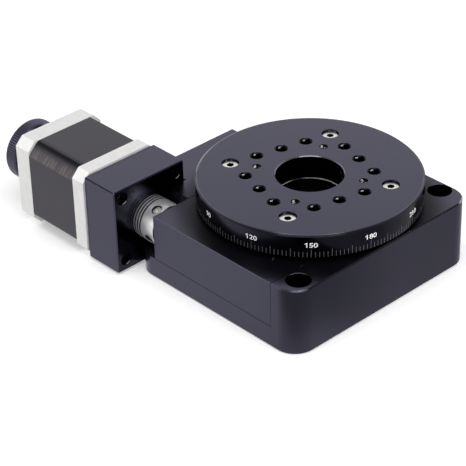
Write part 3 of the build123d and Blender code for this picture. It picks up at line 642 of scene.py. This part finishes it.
def add_block(shape, size, middle, turn=0.0):
    """Add a block to a bmesh, then turn it about the table's axis."""
    made = bmesh.ops.create_cube(shape, size=1.0)
    place = Matrix.Translation(middle) @ Matrix.Diagonal((*size, 1.0))
    bmesh.ops.transform(shape, matrix=Matrix.Rotation(turn, 4, "Z") @ place, verts=made["verts"])


def round_edges(shape, offset, segments):
    """Bevel every edge of a bmesh."""
    bmesh.ops.bevel(shape, geom=shape.edges[:], offset=offset, segments=segments, profile=0.5,
                    affect="EDGES", material=-1)


def add_piece(name, shape, material, body):
    """Turn a bmesh into a piece that rides on a body."""
    bmesh.ops.recalc_face_normals(shape, faces=shape.faces)
    mesh = bpy.data.meshes.new(name)
    shape.to_mesh(mesh)
    shape.free()
    mesh.materials.append(material)
    mesh.shade_flat()
    piece = bpy.data.objects.new(name, mesh)
    bpy.context.scene.collection.objects.link(piece)
    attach(piece, body)
    return piece


class STAGE_OT_base(bpy.types.Operator):
    """Finish the base, worm housing and bracket"""

    bl_idname = "rotation_stage.base"
    bl_label = "Base"

    def execute(self, context):
        # front, side and end set painted highlight and shade on broken edges and end faces.
        base = anodised("base_anodise", under_the_rim, front=0.2, side=-0.75, scuff=0.06)
        housing = anodised("housing_anodise", under_the_rim, front=0.6, side=-0.95)
        bracket = anodised("bracket_anodise", bracket_shape, front=-0.6, side=-0.6, end=0.69)
        dress(base, "base_body")
        dress(housing, "worm_housing")
        dress(bracket, "motor_bracket")
        return {"FINISHED"}


class STAGE_OT_table(bpy.types.Operator):
    """Finish the rotary table and its hub"""

    bl_idname = "rotation_stage.table"
    bl_label = "Table"

    def execute(self, context):
        dress(table_finish("table_anodise"), "rotary_table")
        dress(hub_finish("hub_anodise"), "table_hub")
        return {"FINISHED"}


class STAGE_OT_marks(bpy.types.Operator):
    """Mark the rim every few degrees, with each fifth mark longer"""

    bl_idname = "rotation_stage.marks"
    bl_label = "Rim marks"

    def execute(self, context):
        dial = context.scene.stage_dial
        shape = bmesh.new()
        for degrees in range(0, 360, dial.step):
            top = dial.long_top if degrees % (5 * dial.step) == 0 else dial.short_top
            size = (dial.paint + SUNK, dial.width, top - dial.foot)
            height = TABLE_LOW.z + (dial.foot + top) / 2
            middle = (TABLE_RADIUS + (dial.paint - SUNK) / 2, 0, height)
            add_block(shape, size, middle, dial.first_angle + math.radians(degrees))
        finish = painted("mark_paint", (0.085, 0.085, 0.09), wear=0.5)
        add_piece("rim_marks", shape, finish, "table")
        return {"FINISHED"}


class STAGE_OT_numbers(bpy.types.Operator):
    """Put the numbers on the rim"""

    bl_idname = "rotation_stage.numbers"
    bl_label = "Rim numbers"

    CAP_SHARE = 0.70
    ADVANCE = 0.49
    BOLDER = 0.014
    HALF_DEPTH = 0.06 * MM

    def execute(self, context):
        dial = context.scene.stage_dial
        font_size = dial.number_height / self.CAP_SHARE
        shape = bmesh.new()
        for degrees in range(0, 360, dial.number_step):
            number = str(degrees)
            angle = dial.first_angle + math.radians(degrees)
            for place, digit in enumerate(number):
                shift = (place - (len(number) - 1) / 2) * self.ADVANCE * font_size
                first = len(shape.verts)
                self.add_figure(shape, digit, font_size)
                shape.verts.ensure_lookup_table()
                for vert in shape.verts[first:]:
                    self.bend(vert, dial, angle, shift)
        bmesh.ops.remove_doubles(shape, verts=shape.verts, dist=0.001 * MM)
        finish = painted("number_paint", setting("paint"), wear=0.1)
        add_piece("rim_numbers", shape, finish, "table")
        return {"FINISHED"}

    def add_figure(self, shape, digit, font_size):
        """Add one flat figure, centred on the origin's upright."""
        curve = bpy.data.curves.new("figure", "FONT")
        curve.body = digit
        curve.size = font_size
        curve.align_x = "CENTER"
        curve.offset = self.BOLDER * font_size
        curve.extrude = self.HALF_DEPTH
        curve.resolution_u = 3
        text = bpy.data.objects.new("figure", curve)
        mesh = bpy.data.meshes.new_from_object(text)
        shape.from_mesh(mesh)
        if digit == "1":
            left = min(vert.co.x for vert in mesh.vertices)
            top = max(vert.co.y for vert in mesh.vertices)
            self.add_flag(shape, left, top)
        bpy.data.objects.remove(text)
        bpy.data.curves.remove(curve)
        bpy.data.meshes.remove(mesh)

    def add_flag(self, shape, left, top):
        """Add the short slanted stroke at the top of a figure one."""
        reach = 0.60 * MM
        drop = 0.50 * MM
        thick = 0.42 * MM
        overlap = 0.05 * MM
        slant = Matrix((
            (reach, 0, 0, left + overlap - reach / 2),
            (drop, thick, 0, top - (drop + thick) / 2),
            (0, 0, 2 * self.HALF_DEPTH, 0),
            (0, 0, 0, 1)))
        made = bmesh.ops.create_cube(shape, size=1.0)
        bmesh.ops.transform(shape, matrix=slant, verts=made["verts"])

    def bend(self, vert, dial, angle, shift):
        """Bring a flat figure's vertex onto the rim."""
        across, up, out = vert.co
        turn = angle + (across + shift) * dial.number_stretch / TABLE_RADIUS
        radius = TABLE_RADIUS + dial.paint - self.HALF_DEPTH + out
        height = TABLE_LOW.z + dial.number_foot + up
        vert.co = (radius * math.cos(turn), radius * math.sin(turn), height)


class STAGE_OT_index(bpy.types.Operator):
    """Engrave the reading line on the base, beside the rim"""

    bl_idname = "rotation_stage.index"
    bl_label = "Reading line"

    def execute(self, context):
        paint = context.scene.stage_dial.paint
        inner = TABLE_RADIUS + 0.3 * MM
        outer = TABLE_RADIUS + 2.6 * MM
        width = 0.25 * MM
        angle = math.radians(-62.5)
        shape = bmesh.new()
        size = (outer - inner, width, paint + SUNK)
        middle = ((inner + outer) / 2, 0, BASE_TOP + (paint - SUNK) / 2)
        add_block(shape, size, middle, angle)
        finish = painted("index_paint", (0.06, 0.06, 0.066), wear=0.4)
        add_piece("reading_line", shape, finish, "base")
        return {"FINISHED"}


class STAGE_OT_motor(bpy.types.Operator):
    """Finish the motor"""

    bl_idname = "rotation_stage.motor"
    bl_label = "Motor"

    def execute(self, context):
        dress(brushed_cap("cap_brushed"), "motor_front_cap", "motor_rear_cap")
        dress(laminated("stator_laminated"), "motor_stator")
        dress(plain_metal("copper_winding", (0.55, 0.24, 0.09), 0.35, metallic=0.8), "motor_coils")
        dress(plain_metal("rotor_stamped", (0.30, 0.29, 0.28), 0.4), "motor_rotor")
        dress(plain_metal("magnet_sintered", (0.16, 0.16, 0.17), 0.5, metallic=0.6), "rotor_magnet")
        dress(turned_metal("shaft_ground", (0.62, 0.62, 0.63)), "motor_shaft")
        return {"FINISHED"}


class STAGE_OT_connector(bpy.types.Operator):
    """Put the low connector socket and its contacts on the motor's far side"""

    bl_idname = "rotation_stage.connector"
    bl_label = "Connector"

    HEIGHT = 7.8 * MM
    WALL = 0.9 * MM

    def execute(self, context):
        low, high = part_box("connector_socket")
        size = Vector((high.x - low.x, high.y - low.y, self.HEIGHT))
        middle = low + size / 2
        shell = self.shell(size, middle)
        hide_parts("connector_socket")
        contacts = self.contacts(low.y, middle)
        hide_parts("connector_pins")
        return {"FINISHED"}

    def shell(self, size, middle):
        """A rounded block, hollow from its far side."""
        shape = bmesh.new()
        add_block(shape, size, (0, 0, 0))
        round_edges(shape, 0.25 * MM, segments=2)
        mouth = max(shape.faces, key=lambda face: face.calc_center_median().y)
        bmesh.ops.inset_region(shape, faces=[mouth], thickness=self.WALL, use_even_offset=True)
        pushed = bmesh.ops.extrude_discrete_faces(shape, faces=[mouth])["faces"][0]
        bmesh.ops.translate(shape, vec=(0, self.WALL - size.y, 0), verts=pushed.verts)
        bmesh.ops.translate(shape, vec=middle, verts=shape.verts)
        plastic = moulded("socket_plastic", (0.02, 0.02, 0.022))
        return add_piece("connector_shell", shape, plastic, "base")

    def contacts(self, foot, middle):
        """Two columns of three square pins that stand on the shell's floor."""
        pitch = 2.0 * MM
        size = (0.5 * MM, 3.6 * MM, 0.5 * MM)
        shape = bmesh.new()
        for column in (-0.5, 0.5):
            for row in (-1, 0, 1):
                place = (middle.x + column * pitch, foot + self.WALL + 1.6 * MM,
                         middle.z + row * pitch)
                add_block(shape, size, place)
        round_edges(shape, 0.08 * MM, segments=1)
        plating = plain_metal("pin_plating", (0.78, 0.66, 0.35), 0.25)
        return add_piece("connector_contacts", shape, plating, "base")


class STAGE_OT_coupling(bpy.types.Operator):
    """Finish the coupling and the hand knob"""

    bl_idname = "rotation_stage.coupling"
    bl_label = "Coupling and knob"

    def execute(self, context):
        dress(coupling_finish("coupling_turned"), "coupling")
        # The knob's end faces get painted shade, and its knurl painted light and shade.
        dress(anodised("knob_anodise", knurled, end=0.92), "knob")
        return {"FINISHED"}


class STAGE_OT_gears(bpy.types.Operator):
    """Finish the worm gear set and the bearings"""

    bl_idname = "rotation_stage.gears"
    bl_label = "Gears and bearings"

    def execute(self, context):
        dress(plain_metal("wheel_bronze", (0.62, 0.40, 0.16), 0.32), "worm_wheel")
        dress(turned_metal("worm_ground", (0.50, 0.50, 0.52), rough=0.24), "worm_shaft")
        dress(plain_metal("ring_steel", (0.66, 0.66, 0.68), 0.16),
              "main_bearing_inner_ring", "main_bearing_outer_ring", "worm_bearing_inner_rings",
              "worm_bearing_outer_rings", "motor_bearing_inner_rings",
              "motor_bearing_outer_rings", "hub_nut", "worm_bearing_nut")
        dress(plain_metal("ball_steel", (0.74, 0.74, 0.76), 0.08),
              "main_bearing_balls", "worm_bearing_balls", "motor_bearing_balls")
        dress(plain_metal("cage_brass", (0.70, 0.52, 0.22), 0.3),
              "main_bearing_cage", "worm_bearing_cages", "motor_bearing_cages")
        dress(plain_metal("clamp_ring_aluminium", (0.66, 0.66, 0.67), 0.35), "bearing_clamp_ring")
        return {"FINISHED"}


class STAGE_OT_screws(bpy.types.Operator):
    """Finish the screws"""

    bl_idname = "rotation_stage.screws"
    bl_label = "Screws"

    def execute(self, context):
        dress(screw_head("screw_bright", SCREWS_TOP), "table_screws")
        dress(glinting("grub_steel", (0.80, 0.80, 0.80)), "table_grub_screws")
        dress(plain_metal("screw_plated", setting("steel"), 0.24),
              "coupling_screws", "motor_body_screws", "clamp_ring_screws")
        dress(plain_metal("screw_black", (0.05, 0.05, 0.052), 0.35, metallic=0.7),
              "housing_screws", "bracket_screws", "wheel_screws", "knob_grub_screw",
              "motor_mounting_screws")
        return {"FINISHED"}


class STAGE_OT_studio(bpy.types.Operator):
    """Build the camera, lamps, floor and world"""

    bl_idname = "rotation_stage.studio"
    bl_label = "Studio"

    def execute(self, context):
        studio = context.scene.stage_studio
        self.camera(context.scene, studio)
        self.lamp("top_lamp", place=(0.10, -0.10, 0.85), size=0.7, power=studio.top_power)
        self.lamp("front_lamp", place=(-0.25, -0.95, 0.40), size=0.6, power=studio.front_power)
        self.lamp("side_lamp", place=(0.95, 0.05, 0.22), size=0.5, power=studio.side_power)
        self.floor()
        self.world(context.scene)
        context.scene.view_settings.view_transform = "Standard"
        return {"FINISHED"}

    def camera(self, scene, studio):
        """A camera at the picture's place and angle."""
        data = bpy.data.cameras.new("camera")
        data.sensor_width = 36.0
        data.lens = data.sensor_width / studio.view
        data.clip_end = 20.0
        level = math.cos(studio.elevation)
        back = Vector((math.sin(studio.azimuth) * level, -math.cos(studio.azimuth) * level,
                       math.sin(studio.elevation)))
        right = (-back).cross(Vector((0, 0, 1))).normalized()
        up = right.cross(-back)
        turned_right = right * math.cos(studio.roll) + up * math.sin(studio.roll)
        turned_up = up * math.cos(studio.roll) - right * math.sin(studio.roll)
        axes = Matrix((turned_right, turned_up, back)).transposed().to_4x4()
        camera = bpy.data.objects.new("camera", data)
        camera.matrix_world = Matrix.Translation(Vector(studio.eye)) @ axes
        scene.collection.objects.link(camera)
        scene.camera = camera

    def lamp(self, name, place, size, power):
        """A square soft lamp that faces the stage."""
        data = bpy.data.lights.new(name, "AREA")
        data.size = size
        data.energy = power
        spot = Vector(place)
        lamp = bpy.data.objects.new(name, data)
        turn = spot.to_track_quat("Z", "Y").to_matrix().to_4x4()
        lamp.matrix_world = Matrix.Translation(spot) @ turn
        bpy.context.scene.collection.objects.link(lamp)

    def floor(self):
        """A pale floor that keeps the stage's shadow and looks white to the camera."""
        shape = bmesh.new()
        bmesh.ops.create_grid(shape, x_segments=1, y_segments=1, size=4.0)
        mesh = bpy.data.meshes.new("floor")
        shape.to_mesh(mesh)
        shape.free()
        mesh.materials.append(self.floor_paper())
        floor = bpy.data.objects.new("floor", mesh)
        bpy.context.scene.collection.objects.link(floor)

    def floor_paper(self):
        """Pale paper, darker to mirrored rays at the right and near the camera."""
        finish = Finish("floor_paper")
        seen = finish.add("ShaderNodeLightPath", {}, {}, "Is Camera Ray")
        tone = finish.noise(0.004, 2.0) * 0.02 + 0.90
        paper = finish.add("ShaderNodeBsdfDiffuse", {}, {"Color": finish.scaled(WHITE, tone)})
        glow = finish.add("ShaderNodeEmission", {}, {
            "Color": finish.scaled(WHITE, seen), "Strength": 0.30})
        lit = finish.add("ShaderNodeAddShader", {}, {0: paper, 1: glow})
        rightward = finish.place.along(RIGHTWARD)
        forward = finish.place.along(FORWARD)
        beside = forward.ramp(25.0, 65.0) * rightward.ramp(5.0, 35.0)
        near = forward.ramp(60.0, 105.0)
        far_level = 0.80 - 0.34 * rightward.ramp(-75.0, 70.0) - 0.19 * beside
        near_level = 0.27
        level = far_level - near * (far_level - near_level)
        mirrored = finish.add("ShaderNodeEmission", {}, {
            "Color": finish.scaled(WHITE, level), "Strength": 1.0})
        glossy = seen.part("Is Glossy Ray")
        both = finish.add("ShaderNodeMixShader", {}, {0: glossy, 1: lit, 2: mirrored})
        finish.add("ShaderNodeOutputMaterial", {}, {"Surface": both})
        return finish.material

    def world(self, scene):
        """A white surround for the camera, dimmer overhead to mirrored rays and for plain light."""
        world = bpy.data.worlds.new("studio")
        sky = NodeTree(world)
        seen = sky.add("ShaderNodeLightPath", {}, {}, "Is Camera Ray")
        mirrored = seen.part("Is Glossy Ray")
        upward = sky.add("ShaderNodeTexCoord", {}, {}, "Generated")
        height = sky.add("ShaderNodeSeparateXYZ", {}, {0: upward}, "Z")
        ceiling = 1 - height.ramp(0.47, 0.74) * 0.75
        level = seen + mirrored * ceiling + (1 - seen - mirrored) * 0.45
        light = sky.add("ShaderNodeBackground", {}, {
            "Color": sky.scaled(WHITE, level), "Strength": 1.0})
        sky.add("ShaderNodeOutputWorld", {}, {"Surface": light})
        scene.world = world


class STAGE_PT_panel(bpy.types.Panel):
    """Settings and a button for each group of pieces"""

    bl_idname = "STAGE_PT_panel"
    bl_label = "Rotation stage"
    bl_space_type = "VIEW_3D"
    bl_region_type = "UI"
    bl_category = "Rotation stage"

    def draw(self, context):
        scene = context.scene
        for group in (scene.stage_dial, scene.stage_finishes, scene.stage_studio):
            column = self.layout.column()
            for name in group.__annotations__:
                column.prop(group, name)
        for operator in STEPS:
            self.layout.operator(operator.bl_idname)


STEPS = (STAGE_OT_base, STAGE_OT_table, STAGE_OT_marks, STAGE_OT_numbers, STAGE_OT_index,
         STAGE_OT_motor, STAGE_OT_connector, STAGE_OT_coupling, STAGE_OT_gears, STAGE_OT_screws,
         STAGE_OT_studio)
CLASSES = (DialSizes, FinishColours, StudioSettings) + STEPS + (STAGE_PT_panel,)


def register():
    """Register the classes and hang the settings on the scene."""
    for kind in CLASSES:
        bpy.utils.register_class(kind)
    bpy.types.Scene.stage_dial = PointerProperty(type=DialSizes)
    bpy.types.Scene.stage_finishes = PointerProperty(type=FinishColours)
    bpy.types.Scene.stage_studio = PointerProperty(type=StudioSettings)


def unregister():
    """Take the settings and classes away."""
    del bpy.types.Scene.stage_studio
    del bpy.types.Scene.stage_finishes
    del bpy.types.Scene.stage_dial
    for kind in reversed(CLASSES):
        bpy.utils.unregister_class(kind)


def main():
    """Dress the stage in order."""
    register()
    bpy.ops.rotation_stage.base()
    bpy.ops.rotation_stage.table()
    bpy.ops.rotation_stage.marks()
    bpy.ops.rotation_stage.numbers()
    bpy.ops.rotation_stage.index()
    bpy.ops.rotation_stage.motor()
    bpy.ops.rotation_stage.connector()
    bpy.ops.rotation_stage.coupling()
    bpy.ops.rotation_stage.gears()
    bpy.ops.rotation_stage.screws()
    bpy.ops.rotation_stage.studio()


if __name__ == "__main__":
    main()
